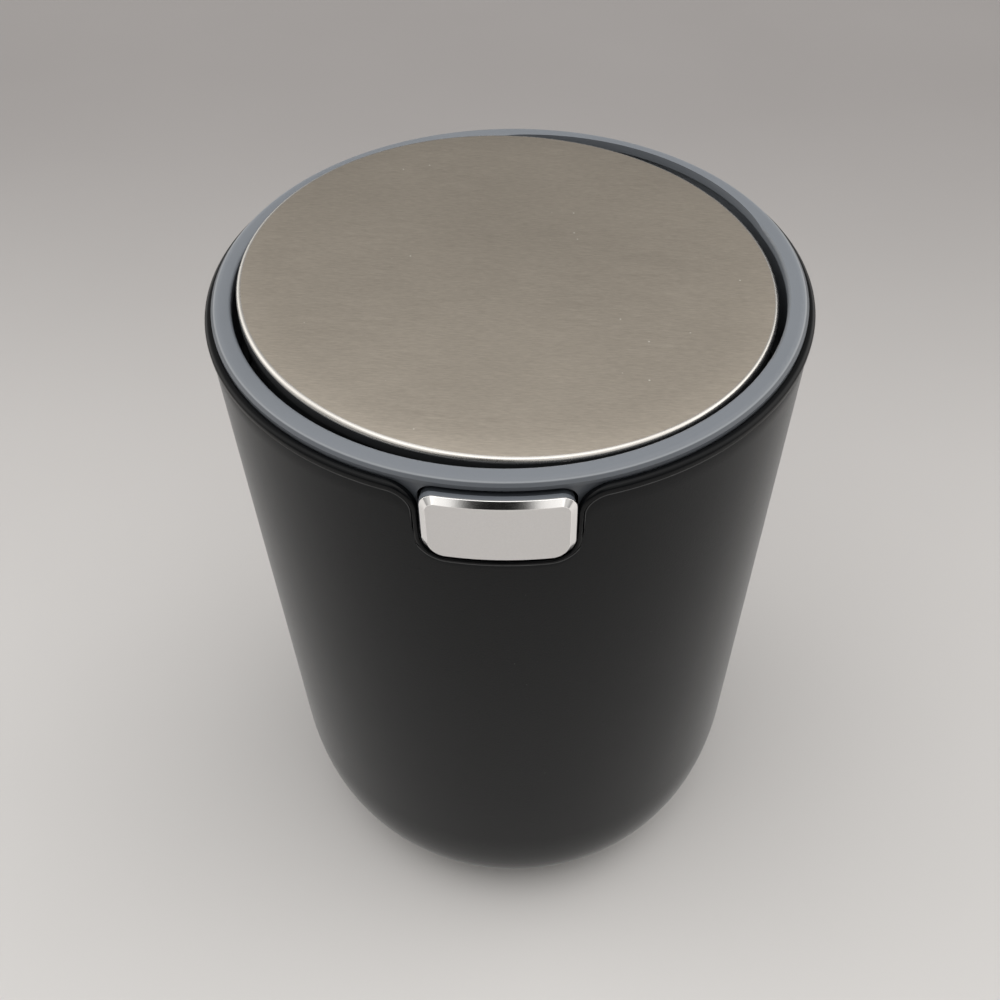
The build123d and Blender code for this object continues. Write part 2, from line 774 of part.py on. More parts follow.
# Bright bevelled plate on the button's face
with BuildPart() as button_plate:
    add_band(button_body_front, plate_front, button_bottom, button_top)
    with BuildSketch(Plane.XZ):
        button_face(0)
    extrude(amount=reach, mode=Mode.INTERSECT)
    front_face = button_plate.faces().sort_by(Axis.Y)[0]
    chamfer(front_face.edges(), plate_bevel)
button_plate.part.label = "button_plate"
export_step(button_plate.part, "parts/button_plate.step")

# Latch hook: a plate behind the button, two arms through the guide and a bar over the keeper
with BuildPart() as latch_hook:
    add_block(
        (-hook_plate_half_width, hook_plate_half_width), (hook_plate_front, hook_plate_back),
        (hook_plate_bottom, hook_plate_top),
    )
    for side in (-1, 1):
        add_block(
            mirrored_range(side, arm_inner, arm_inner + arm_width), (hook_plate_back, hook_bar_back),
            (arm_bottom, arm_top),
        )
    add_block(
        (-arm_inner - arm_width, arm_inner + arm_width), (hook_bar_front, hook_bar_back),
        (arm_bottom, arm_top),
    )
    with BuildSketch(Plane.XZ.offset(-hook_plate_back)):
        with Locations(hook_boss_places):
            Circle(hook_screw_shank_radius + screw_fit)
    extrude(amount=hook_plate_thickness, mode=Mode.SUBTRACT)
latch_hook.part.label = "latch_hook"
export_step(latch_hook.part, "parts/latch_hook.step")

# Two small screws that fix the hook to the button body
with BuildPart() as hook_screws:
    for place_x, place_z in hook_boss_places:
        add_screw(
            Plane((place_x, hook_plate_back, place_z), x_dir=(1, 0, 0), z_dir=(0, 1, 0)),
            hook_screw_head_radius, hook_screw_head_height, hook_screw_shank_radius,
            hook_plate_thickness + hook_screw_bite - screw_fit,
        )
hook_screws.part.label = "hook_screws"
export_step(hook_screws.part, "parts/hook_screws.step")
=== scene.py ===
from math import asin, cos, hypot, pi, radians, sin, sqrt

import bpy
from mathutils import Matrix, Vector


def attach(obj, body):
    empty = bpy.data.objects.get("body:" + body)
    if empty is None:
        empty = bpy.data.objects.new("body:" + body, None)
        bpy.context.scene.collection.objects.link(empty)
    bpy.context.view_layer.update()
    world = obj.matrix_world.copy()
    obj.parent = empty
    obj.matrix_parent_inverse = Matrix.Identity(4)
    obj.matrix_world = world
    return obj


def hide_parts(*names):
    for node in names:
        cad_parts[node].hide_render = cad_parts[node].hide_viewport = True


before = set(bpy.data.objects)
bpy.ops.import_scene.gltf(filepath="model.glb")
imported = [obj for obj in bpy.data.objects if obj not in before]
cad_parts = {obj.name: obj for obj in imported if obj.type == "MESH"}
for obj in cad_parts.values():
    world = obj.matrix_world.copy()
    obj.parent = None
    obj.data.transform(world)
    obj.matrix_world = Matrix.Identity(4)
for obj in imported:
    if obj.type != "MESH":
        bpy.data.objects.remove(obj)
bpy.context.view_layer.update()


# Bucket: one injection-moulded shell in matt black polypropylene with a fine eroded grain.
# Its rim ends in a smooth bead over a thin groove, and both run down round the button's notch;
# a pale highlight is painted along the groove's lower edge. Sizes here and below are millimetres;
# meshes are written in metres.
foot_gap = 0.6
base_radius = 33.8
foot_handles = [(47.4, 0.6), (59.85, 4.4)]
low_wall_radius = 60.8
low_wall_height = 36.8
top_wall_radius = 64.6
groove_height = 166.2
rim_top = 168.2
wall = 2.4
floor_top = 3.2
inner_foot_handles = [(57.32, 7.6), (47.4, 3.2)]
rebate_wall = 1.2
ledge_height = 147.0
pad_radius = 29.0
pad_pocket = 1.6
# Across the groove and up the bead: the distance past the groove and the depth off the wall.
groove_profile = [(-0.3, 0), (-0.1, -0.05), (0, -0.3), (0.1, -0.1), (0.22, 0.2), (0.4, 0.36)]
bead_proud = 0.4
bead_round = 1.0
bead_turn = pi / 2 + 0.2
lip_round = 0.5
lip_width = 1.15
notch_half_width = 14.8
notch_bottom = 150.3
notch_corner = 5.0
notch_flare = 5.7
notch_reach = 26.0
plain_height = 140.0
outer_wall_heights = (60, 85, 110, 128, plain_height)
inner_wall_heights = (110, 70)
blend_shares = (0.15, 0.35, 0.6, 0.85)
rebate_shares = (0.8, 0.5, 0.2, 0)
foot_points = 26
inner_foot_points = 14
corner_points = 14
side_points = 9
rim_points = 6
rear_points = 236
bead_points = 9

black_deep = (0.0032, 0.0038, 0.0046, 1)
black_lifted = (0.0052, 0.0059, 0.0067, 1)
bucket_dust = (0.16, 0.16, 0.155, 1)
bead_colour = (0.003, 0.0034, 0.004, 1)
groove_highlight_dark = (0.02, 0.021, 0.023, 1)
groove_highlight_pale = (0.09, 0.093, 0.097, 1)


class Varied:
    """A number that changes over a surface: arithmetic on it adds Math nodes to its finish."""

    def __init__(self, finish, socket):
        self.finish, self.socket = finish, socket

    def maths(self, operation, first, second):
        return self.finish.node("Math", {"operation": operation}, {0: first, 1: second})

    def __add__(self, other):
        return self.maths("ADD", self, other)

    def __sub__(self, other):
        return self.maths("SUBTRACT", self, other)

    def __rsub__(self, other):
        return self.maths("SUBTRACT", other, self)

    def __mul__(self, other):
        return self.maths("MULTIPLY", self, other)

    __radd__ = __add__
    __rmul__ = __mul__

    def between(self, low, high):
        """Rise smoothly from 0 at low to 1 at high."""
        limits = {"Value": self, "From Min": low, "From Max": high}
        return self.finish.node("MapRange", {"interpolation_type": "SMOOTHSTEP"}, limits)

    def beside(self, output):
        """Another output of the node that this one comes from."""
        return Varied(self.finish, self.socket.node.outputs[output])


class Finish:
    """One procedural surface finish: a Principled shader and the nodes that vary it."""

    def __init__(self, name, **even):
        self.material = bpy.data.materials.new(name)
        self.material.use_nodes = True
        self.tree = self.material.node_tree
        self.shader = self.tree.nodes["Principled BSDF"]
        self.place = self.node("TexCoord", output="Object")
        self.set(**even)

    def node(self, kind, settings=None, sockets=None, output=0):
        """Add a node: its settings first, then a value or a link for each named socket."""
        made = self.tree.nodes.new("ShaderNode" + kind)
        for name, value in (settings or {}).items():
            setattr(made, name, value)
        for name, value in (sockets or {}).items():
            self.feed(made.inputs[name], value)
        return Varied(self, made.outputs[output])

    def feed(self, socket, value):
        if isinstance(value, Varied):
            self.tree.links.new(value.socket, socket)
        else:
            socket.default_value = value

    def set(self, **sockets):
        """Set the shader's sockets; base_color stands for Base Color."""
        named = {socket.name.lower().replace(" ", "_"): socket for socket in self.shader.inputs}
        for name, value in sockets.items():
            self.feed(named[name], value)

    def stretched(self, x, y, z):
        """The place on the surface, multiplied along each axis."""
        return self.node("VectorMath", {"operation": "MULTIPLY"}, {0: self.place, 1: (x, y, z)})

    def noise(self, size, detail=2, place=None, roughness=0.5):
        """Soft noise from 0 to 1, its blotches about this many millimetres across."""
        sockets = {"Vector": place or self.place, "Scale": 1000 / size, "Detail": detail}
        return self.node("TexNoise", None, {**sockets, "Roughness": roughness})

    def specks(self, cell, share, radius):
        """A mask of round specks: the size of a cell and a speck's radius in millimetres, and
        the share of cells that hold one."""
        sockets = {"Vector": self.place, "Scale": 1000 / cell}
        distance = self.node("TexVoronoi", {"feature": "F1"}, sockets, "Distance")
        chance = self.node("SeparateColor", None, {0: distance.beside("Color")})
        edge = radius / cell
        return chance.between(1 - share, 1.001 - share) * (1 - distance.between(0.5 * edge, edge))

    def mix(self, share, first, second):
        """Mix two colours."""
        return self.node("Mix", {"data_type": "RGBA"}, {0: share, 6: first, 7: second}, 2)

    def bumped(self, height, depth, strength):
        """A normal from a height of this many millimetres."""
        sockets = {"Height": height, "Distance": depth / 1000, "Strength": strength}
        return self.node("Bump", None, sockets)


def steps(first, last, count):
    """Evenly spaced values from first up to, but without, last."""
    return [first + (last - first) * k / count for k in range(count)]


def curve(start, handles, end, count):
    """Points on a cubic curve after its start, drawn by its two handles."""
    points = []
    for k in range(1, count + 1):
        t = k / count
        weights = ((1 - t) ** 3, 3 * t * (1 - t) ** 2, 3 * t * t * (1 - t), t ** 3)
        corners = (start, *handles, end)
        points.append(tuple(sum(w * p[i] for w, p in zip(weights, corners)) for i in (0, 1)))
    return points


def loft(name, rows, body, finishes, band_finish=None, sharp=32):
    """Join rows of points, in millimetres, into a mesh that rides on a body; one point is a pole.

    band_finish says which finish the band after a row takes, where it isn't the first.
    """
    points, faces, bands, starts = [], [], [], []
    band_finish = band_finish or {}
    for row in rows:
        starts.append(len(points))
        points += [(x / 1000, y / 1000, z / 1000) for x, y, z in row]
    count = max(len(row) for row in rows)
    for k in range(len(rows) - 1):
        near, far = starts[k], starts[k + 1]
        for i in range(count):
            j = (i + 1) % count
            side = [near] if len(rows[k]) == 1 else [near + i, near + j]
            other = [far] if len(rows[k + 1]) == 1 else [far + j, far + i]
            faces.append(side + other)
            bands.append(band_finish.get(k, 0))
    mesh = bpy.data.meshes.new(name)
    mesh.from_pydata(points, [], faces)
    for finish in finishes:
        mesh.materials.append(finish.material)
    mesh.polygons.foreach_set("material_index", bands)
    mesh.shade_smooth()
    mesh.set_sharp_from_angle(angle=radians(sharp))
    piece = bpy.data.objects.new(name, mesh)
    bpy.context.collection.objects.link(piece)
    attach(piece, body)
    return piece


wall_slope = (top_wall_radius - low_wall_radius) / (groove_height - low_wall_height)


def wall_radius(height):
    return top_wall_radius - wall_slope * (groove_height - height)


def notch_run(grow, top):
    """Half of the notch's outline, grown by a margin, from its middle out along the rim."""
    half, low = notch_half_width + grow, notch_bottom - grow
    corner, flare = notch_corner + grow, notch_flare - grow
    turn = steps(0, pi / 2, corner_points)
    run = [(x, low) for x in steps(0, half - corner, corner_points)]
    run += [(half - corner + corner * sin(a), low + corner - corner * cos(a)) for a in turn]
    run += [(half, z) for z in steps(low + corner, top - flare, side_points)]
    run += [(half + flare - flare * cos(a), top - flare + flare * sin(a)) for a in turn]
    run += [(x, top) for x in steps(half + flare, notch_reach, rim_points)]
    return run


def azimuth_at(point):
    """Turn a point's distance across into its angle round the wall at its height."""
    return asin(point[0] / wall_radius(point[1])), point[1]


# Each station round the rim has a groove point, an edge point, an azimuth on the plain wall,
# and the share to which the notch holds it.
groove_run = notch_run(lip_width, groove_height)
edge_run = notch_run(0, rim_top)
run_length = [0.0]
for here, there in zip(groove_run, groove_run[1:] + [(notch_reach, groove_height)]):
    run_length.append(run_length[-1] + hypot(there[0] - here[0], there[1] - here[1]))
notch_angle = asin(notch_reach / top_wall_radius)
flare_end = notch_half_width + notch_flare
right = []
for groove, edge, along in zip(groove_run, edge_run, run_length):
    held = 1 - max(0.0, (groove[0] - flare_end) / (notch_reach - flare_end))
    plain = notch_angle * along / run_length[-1]
    right.append((azimuth_at(groove), azimuth_at(edge), plain, held))
rear_angles = steps(notch_angle, 2 * pi - notch_angle, rear_points)
rear = [((a, groove_height), (a, rim_top), a, 0.0) for a in rear_angles]
left = [((-g[0], g[1]), (-e[0], e[1]), -plain, held) for g, e, plain, held in right[:0:-1]]
stations = right + rear + left


def on_wall(azimuth, height, depth, held):
    """A point off the wall by a depth. Where held is 1 the depth runs front to back, as the
    notch is cut."""
    outer = wall_radius(height) + depth
    straight = wall_radius(height) * sin(azimuth)
    x = outer * sin(azimuth) * (1 - held) + straight * held
    y = -sqrt(outer ** 2 - x ** 2) if held else -outer * cos(azimuth)
    return (x, y, height)


def rim_row(from_groove=0.0, from_edge=None, depth=0.0, round_depth=0.0):
    """One row round the rim: a distance from the groove, or from the edge in shares of its
    rounding."""
    row = []
    for groove, edge, _, held in stations:
        across = hypot((edge[0] - groove[0]) * top_wall_radius, edge[1] - groove[1])
        widening = (across - lip_width) / (rim_top - groove_height - lip_width)
        rounding = lip_round + (bead_round - lip_round) * widening
        distance = from_groove if from_edge is None else across - from_edge * rounding
        t = distance / across
        azimuth = groove[0] + (edge[0] - groove[0]) * t
        height = groove[1] + (edge[1] - groove[1]) * t
        row.append(on_wall(azimuth, height, depth - round_depth * rounding, held))
    return row


def plain_row(radius, height):
    """A level ring of points under the stations."""
    if radius == 0:
        return [(0.0, 0.0, height)]
    return [(radius * sin(plain), -radius * cos(plain), height) for _, _, plain, _ in stations]


def ruled_row(share, low_height, depth, edge=False):
    """A row between the plain wall and the groove, or the notch's inner edge."""
    row = []
    for groove, rim_edge, plain, held in stations:
        top = rim_edge if edge else groove
        azimuth = plain + (top[0] - plain) * share
        height = low_height + (top[1] - low_height) * share
        row.append(on_wall(azimuth, height, depth, held * share))
    return row


base, low_wall = (base_radius, foot_gap), (low_wall_radius, low_wall_height)
bucket_rows = [plain_row(0, pad_pocket), plain_row(pad_radius, pad_pocket)]
bucket_rows += [plain_row(pad_radius, foot_gap), plain_row(*base)]
bucket_rows += [plain_row(r, z) for r, z in curve(base, foot_handles, low_wall, foot_points)]
bucket_rows += [plain_row(wall_radius(z), z) for z in outer_wall_heights]
bucket_rows += [ruled_row(share, plain_height, 0.0) for share in blend_shares]
groove_row = len(bucket_rows)
bucket_rows += [rim_row(distance, depth=depth) for distance, depth in groove_profile]
for angle in steps(0, bead_turn, bead_points)[1:]:
    bucket_rows += [rim_row(from_edge=1 - sin(angle), depth=bead_proud, round_depth=1 - cos(angle))]
bucket_rows += [rim_row(from_edge=0.0, depth=-rebate_wall)]
rebate_row = len(bucket_rows) - 1
bucket_rows += [ruled_row(share, ledge_height, -rebate_wall, True) for share in rebate_shares]
bucket_rows += [plain_row(wall_radius(z) - wall, z) for z in (ledge_height, *inner_wall_heights)]
inner_low_wall = (low_wall_radius - wall, low_wall_height)
inner_foot = curve(inner_low_wall, inner_foot_handles, (base_radius, floor_top), inner_foot_points)
bucket_rows += [plain_row(r, z) for r, z in (inner_low_wall, *inner_foot)]
bucket_rows += [plain_row(0, floor_top)]

bucket_black = Finish(
    "bucket_matt_black", specular_ior_level=0.15, sheen_weight=0.37, sheen_roughness=0.28
)
cloud = bucket_black.noise(38, 3)
dust = bucket_black.specks(5.5, 0.5, 0.16)
grain = bucket_black.noise(0.42, 3, roughness=0.65)
scuff = bucket_black.noise(1.0, 4, bucket_black.stretched(0.35, 0.35, 1.6)).between(0.62, 0.8)
clouded_black = bucket_black.mix(cloud, black_deep, black_lifted)
bucket_black.set(
    base_color=bucket_black.mix(dust * 0.3, clouded_black, bucket_dust),
    roughness=0.4 + cloud * 0.08 + grain * 0.1 + scuff * 0.06,
    normal=bucket_black.bumped(grain, 0.05, 0.5),
)
bead_black = Finish("bead_smooth_black", base_color=bead_colour, specular_ior_level=0.12)
bead_black.set(
    roughness=0.16 + bead_black.noise(3.0, 4) * 0.12,
    normal=bead_black.bumped(bead_black.noise(0.9), 0.02, 0.25),
)
# Painted highlight: a pale band along the groove's lower edge.
groove_highlight = Finish("groove_edge_rubbed", specular_ior_level=0.3)
groove_highlight_mottle = groove_highlight.noise(2.5, 4)
groove_highlight.set(
    base_color=groove_highlight.mix(groove_highlight_mottle, groove_highlight_dark, groove_highlight_pale),
    roughness=0.35 + groove_highlight_mottle * 0.1,
)
# The groove's lower edge carries a painted highlight; the bead above it is smooth as far as the
# rebate.
rim_bands = {groove_row: 2, **dict.fromkeys(range(groove_row + 1, rebate_row), 1)}
bucket = loft("bucket_shell", bucket_rows, "bin", [bucket_black, bead_black, groove_highlight], rim_bands)
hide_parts("bucket")


# Foot pad: a disc of black rubber, moulded with rings on its underside so that it grips.
# It is pressed into a shallow pocket under the bucket.
pad_chamfer = 0.3
pad_edge_width = 1.2
pad_middle_radius = 2.0
pad_ring_count = 7
pad_points = 128
pad_groove_width = 1.2
pad_groove_slope = 0.2
pad_groove_depth = 0.35
pad_colour = (0.018, 0.018, 0.018, 1)


def turned(name, profile, body, finishes, count, band_finish=None, frame_matrix=None):
    """Turn a profile of radii and heights about the Z axis, or about a frame's own Z axis."""
    rows = []
    for radius, height in profile:
        ring = [(radius * cos(a), radius * sin(a), height) for a in steps(0, 2 * pi, count)]
        ring = [(0.0, 0.0, height)] if radius == 0 else ring
        rows.append([tuple(frame_matrix @ Vector(p)) for p in ring] if frame_matrix else ring)
    return loft(name, rows, body, finishes, band_finish)


pad_profile = [(0, 0)]
for groove_edge in steps(pad_radius - pad_edge_width, pad_middle_radius, pad_ring_count)[::-1]:
    inner_edge = groove_edge - pad_groove_width
    pad_profile += [(inner_edge, 0), (inner_edge + pad_groove_slope, pad_groove_depth)]
    pad_profile += [(groove_edge - pad_groove_slope, pad_groove_depth), (groove_edge, 0)]
pad_profile += [(pad_radius - pad_chamfer, 0), (pad_radius, pad_chamfer)]
pad_profile += [(pad_radius, pad_pocket), (0, pad_pocket)]
pad_rubber = Finish("pad_rubber", base_color=pad_colour)
crumb = pad_rubber.noise(0.8, 4)
pad_rubber.set(roughness=0.6 + crumb * 0.25, normal=pad_rubber.bumped(crumb, 0.08, 0.5))
pad = turned("grip_pad", pad_profile, "bin", [pad_rubber], pad_points)
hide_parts("foot_pad")


# Rim ring: cool grey ABS with a satin face, a rounded crown and a bevelled edge; a pale highlight is
# painted on the ridge and painted shade on the face outside it.
# It drops into the bucket on a deep skirt and carries the lid, the frame and the button.
ridge_inner = 62.4
ridge_full = 62.65
ridge_radius = 62.8
ridge_outer = 62.9
side_full = 62.95
ring_deep = (0.16, 0.175, 0.197, 1)
ring_pale = (0.184, 0.2, 0.223, 1)
ring_ridge_highlight = (0.27, 0.285, 0.3, 1)
ring_side_shade = (0.04, 0.045, 0.053, 1)
ring_dust = (0.5, 0.52, 0.55, 1)


def dress(node, finish):
    """Give a CAD node its finish."""
    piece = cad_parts[node]
    piece.data.materials.clear()
    piece.data.materials.append(finish.material)
    piece.data.polygons.foreach_set("material_index", [0] * len(piece.data.polygons))


ring_grey = Finish("ring_satin_grey", specular_ior_level=0.4)
ring_cloud = ring_grey.noise(24, 3)
ring_grain = ring_grey.noise(0.3)
ring_specks = ring_grey.specks(4.0, 0.5, 0.13)
level_place = ring_grey.stretched(1000, 1000, 0)
from_axis = ring_grey.node("VectorMath", {"operation": "LENGTH"}, {0: level_place}, "Value")
# Painted highlight on the ridge, and painted shade on the face outside the ridge.
ridge_highlight_mask = from_axis.between(ridge_inner, ridge_full) * (1 - from_axis.between(ridge_radius, ridge_outer))
outer_side_shade_mask = from_axis.between(ridge_radius, side_full)
ring_colour = ring_grey.mix(ring_cloud, ring_deep, ring_pale)
ring_colour = ring_grey.mix(ridge_highlight_mask * 0.6, ring_colour, ring_ridge_highlight)
ring_colour = ring_grey.mix(outer_side_shade_mask * 0.6, ring_colour, ring_side_shade)
ring_grey.set(
    base_color=ring_grey.mix(ring_specks * 0.5, ring_colour, ring_dust),
    roughness=0.3 + ring_cloud * 0.06 + ring_grain * 0.08,
    normal=ring_grey.bumped(ring_grain, 0.02, 0.4),
)
dress("rim_ring", ring_grey)


# Inner frame: black ABS, moulded with the throat, the hinge ears and the posts for the stops.
# Four zinc-plated screws hold it up against the ring's lugs, and the can's other screws match.
frame_deep = (0.011, 0.012, 0.013, 1)
frame_pale = (0.02, 0.021, 0.022, 1)
zinc_dull = (0.38, 0.39, 0.4, 1)
zinc_bright = (0.58, 0.59, 0.58, 1)

frame_black = Finish("frame_black")
frame_cloud = frame_black.noise(12, 4)
frame_black.set(
    base_color=frame_black.mix(frame_cloud, frame_deep, frame_pale),
    roughness=0.4 + frame_cloud * 0.2,
    normal=frame_black.bumped(frame_black.noise(0.5, 3), 0.04, 0.4),
)
dress("inner_frame", frame_black)

screw_zinc = Finish("screw_zinc", metallic=1.0)
plating = screw_zinc.noise(0.6, 3)
screw_zinc.set(
    base_color=screw_zinc.mix(plating, zinc_dull, zinc_bright),
    roughness=0.28 + plating * 0.2,
    normal=screw_zinc.bumped(plating, 0.02, 0.4),
)
for screws in ("frame_screws", "guide_screws", "lid_screws", "hook_screws"):
    dress(screws, screw_zinc)


# Hinge: a ground steel pin through both ears, held by two push-on clips and tilted as the lid is.
# A torsion spring of drawn wire is wound round it, one leg under the lid and one on the frame.
lid_height = 170.95
lid_roll = radians(2.46)
lid_pitch = radians(0.3)
hinge_y = 50.0
hinge_depth = 2.6
coil_radius = 1.6
coil_wire = 0.35
coil_turns = 11
coil_points = 16
coil_half_length = 4.85
lid_leg = 12.0
frame_leg_end = 152.2
pin_dull = (0.5, 0.5, 0.51, 1)
pin_bright = (0.66, 0.66, 0.66, 1)
wire_dull = (0.3, 0.3, 0.31, 1)
wire_bright = (0.46, 0.46, 0.46, 1)

lid_frame = Matrix.Translation((0, 0, lid_height))
lid_frame = lid_frame @ Matrix.Rotation(lid_pitch, 4, "X") @ Matrix.Rotation(lid_roll, 4, "Y")

pin_steel = Finish("pin_ground_steel", metallic=1.0)
scratch = pin_steel.noise(1.0, 4, pin_steel.stretched(6, 0.8, 0.8))
pin_steel.set(
    base_color=pin_steel.mix(scratch, pin_dull, pin_bright),
    roughness=0.2 + scratch * 0.2,
    normal=pin_steel.bumped(scratch, 0.01, 0.5),
)
dress("hinge_pin", pin_steel)
dress("pin_clips", pin_steel)


def wire(name, path, thickness, body, finish, sides=8):
    """A round wire along a path of points, with flat ends."""
    points = [Vector(p) for p in path]
    rows = [[tuple(points[0])]]
    across = Vector((0, 0, 1)).cross(points[1] - points[0])
    across = across.normalized() if across.length > 1e-6 else Vector((1, 0, 0))
    for k, point in enumerate(points):
        along = (points[min(k + 1, len(points) - 1)] - points[max(k - 1, 0)]).normalized()
        across = (across - along * across.dot(along)).normalized()
        up = along.cross(across)
        spokes = [across * cos(a) + up * sin(a) for a in steps(0, 2 * pi, sides)]
        rows.append([tuple(point + spoke * thickness) for spoke in spokes])
    rows.append([tuple(points[-1])])
    return loft(name, rows, body, [finish], sharp=50)


spring_steel = Finish("spring_wire", metallic=1.0)
drawn = spring_steel.noise(0.5, 3)
spring_steel.set(
    base_color=spring_steel.mix(drawn, wire_dull, wire_bright),
    roughness=0.25 + drawn * 0.2,
    normal=spring_steel.bumped(drawn, 0.01, 0.4),
)
torsion_path = [(coil_half_length, hinge_y - lid_leg, -hinge_depth - coil_radius)]
for k in range(coil_turns * coil_points + 1):
    turn = 2 * pi * k / coil_points
    x = coil_half_length * (1 - 2 * k / (coil_turns * coil_points))
    torsion_path.append((x, hinge_y + coil_radius * sin(turn), -hinge_depth - coil_radius * cos(turn)))
torsion_path = [lid_frame @ Vector(p) for p in torsion_path]
coil_end = torsion_path[-1]
torsion_path.append(Vector((coil_end.x, coil_end.y, frame_leg_end)))
torsion = wire("torsion_coil", torsion_path, coil_wire, "ring_unit", spring_steel)
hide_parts("torsion_spring")


# Button guide, latch hook and return spring: guide and hook are slippery acetal, one screwed to
# the inner frame and one to the button. A coil of wire on the guide's pip pushes the button out.
return_radius = 2.7
return_wire = 0.28
return_turns = 6
return_points = 20
return_front = -59.25
return_back = -54.15
return_height = 157.45
acetal_deep = (0.04, 0.04, 0.043, 1)
acetal_pale = (0.055, 0.055, 0.06, 1)

guide_acetal = Finish("guide_acetal")
guide_cloud = guide_acetal.noise(6, 3)
guide_acetal.set(
    base_color=guide_acetal.mix(guide_cloud, acetal_deep, acetal_pale),
    roughness=0.3 + guide_cloud * 0.12,
    normal=guide_acetal.bumped(guide_acetal.noise(0.6), 0.02, 0.3),
)
dress("button_guide", guide_acetal)
dress("latch_hook", guide_acetal)

return_path = []
for k in range(return_turns * return_points + 1):
    turn = 2 * pi * k / return_points
    y = return_front + (return_back - return_front) * k / (return_turns * return_points)
    y = min(max(y, return_front + return_wire), return_back - return_wire)
    return_path.append((return_radius * cos(turn), y, return_height + return_radius * sin(turn)))
return_coil = wire("return_coil", return_path, return_wire, "ring_unit", spring_steel)
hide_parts("return_spring")


# Lid: a stamped stainless cap, brushed from side to side, its edge rolled over and left bright;
# the skirt below the roll is painted black as shade. A black plastic core inside it carries the
# hinge knuckles and the latch keeper, and a cover under the core holds two rubber stops.
lid_radius = 57.6
lid_edge_round = 1.0
cap_thickness = 0.5
cap_depth = 3.0
flat_rings = (0, 20, 38, 50)
cap_points = 320
roll_points = 10
inner_roll_points = 5
edge_centre = lid_radius - lid_edge_round
inner_round = lid_edge_round - cap_thickness
steel_warm = (0.43, 0.38, 0.32, 1)
steel_pale = (0.64, 0.575, 0.49, 1)
steel_glint = (0.9, 0.87, 0.8, 1)
edge_deep = (0.53, 0.51, 0.48, 1)
edge_pale = (0.6, 0.58, 0.55, 1)
core_deep = (0.013, 0.014, 0.015, 1)
core_pale = (0.022, 0.023, 0.025, 1)
stop_colour = (0.026, 0.026, 0.027, 1)

lid_steel = Finish("lid_brushed_steel", metallic=1.0)
streak = lid_steel.noise(1.0, 4, lid_steel.stretched(0.05, 2.2, 2.2), 0.7)
tick = lid_steel.noise(1.0, 3, lid_steel.stretched(0.5, 4.5, 4.5), 0.65)
patch = lid_steel.noise(34)
glint = lid_steel.specks(5.0, 0.5, 0.28)
brushing = tick.between(0.2, 0.8) * 0.6 + streak * 0.25 + patch * 0.15
brushed_colour = lid_steel.mix(brushing, steel_warm, steel_pale)
lid_steel.set(
    base_color=lid_steel.mix(glint * 0.85, brushed_colour, steel_glint),
    roughness=0.26 + streak * 0.12 + patch * 0.05,
    normal=lid_steel.bumped(streak * 0.4 + tick * 0.6, 0.02, 0.5),
)
edge_steel = Finish("lid_bright_edge", metallic=1.0)
polish = edge_steel.noise(2.0, 3)
edge_steel.set(
    base_color=edge_steel.mix(polish, edge_deep, edge_pale),
    roughness=0.22 + polish * 0.1,
    normal=edge_steel.bumped(edge_steel.noise(0.5), 0.01, 0.3),
)
# The core's black plastic; also put on the cap's skirt below the roll as painted shade.
core_black = Finish("core_black")
core_cloud = core_black.noise(14, 4)
core_black.set(
    base_color=core_black.mix(core_cloud, core_deep, core_pale),
    roughness=0.42 + core_cloud * 0.15,
    normal=core_black.bumped(core_black.noise(0.45, 3), 0.04, 0.4),
)


def edge_arc(radius, count):
    """Points on the rolled edge, from its top to its side."""
    angles = steps(0, pi / 2, count)
    return [(edge_centre + radius * sin(a), -lid_edge_round + radius * cos(a)) for a in angles]


cap_profile = [(0, -cap_thickness)] + edge_arc(inner_round, inner_roll_points)
cap_profile += [(edge_centre + inner_round, -lid_edge_round), (lid_radius - cap_thickness, -cap_depth)]
cap_profile += [(lid_radius, -cap_depth), (lid_radius, -lid_edge_round)]
cap_profile += edge_arc(lid_edge_round, roll_points)[:0:-1] + [(edge_centre, 0)]
cap_profile += [(radius, 0) for radius in flat_rings[::-1]]
# The roll is bright and the skirt below it is painted black as shade.
cap_bands = {}
for k, (near, far) in enumerate(zip(cap_profile, cap_profile[1:])):
    if min(near[0], far[0]) > edge_centre - 0.1:
        cap_bands[k] = 2 if max(near[1], far[1]) <= -lid_edge_round else 1
cap_finishes = [lid_steel, edge_steel, core_black]
cap = turned("steel_cap", cap_profile, "lid", cap_finishes, cap_points, cap_bands, lid_frame)
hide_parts("lid_cap")

dress("lid_liner", core_black)
dress("lid_underplate", core_black)

stop_rubber = Finish("stop_rubber", base_color=stop_colour)
stop_crumb = stop_rubber.noise(0.6, 3)
stop_rubber.set(roughness=0.6 + stop_crumb * 0.2, normal=stop_rubber.bumped(stop_crumb, 0.05, 0.4))
dress("lid_stops", stop_rubber)


# Button: a satin metal plate with a polished bevel, bonded to a grey plastic body whose rear,
# where it slides in the notch, is painted dark as shade. Both are curved with the bucket and fill its
# notch.
button_half_width = 14.4
button_bottom = 152.1
button_top = 167.8
button_top_corner = 3.0
button_offset = 0.2
least_corner = 0.3
middle_height = (button_bottom + button_top) / 2
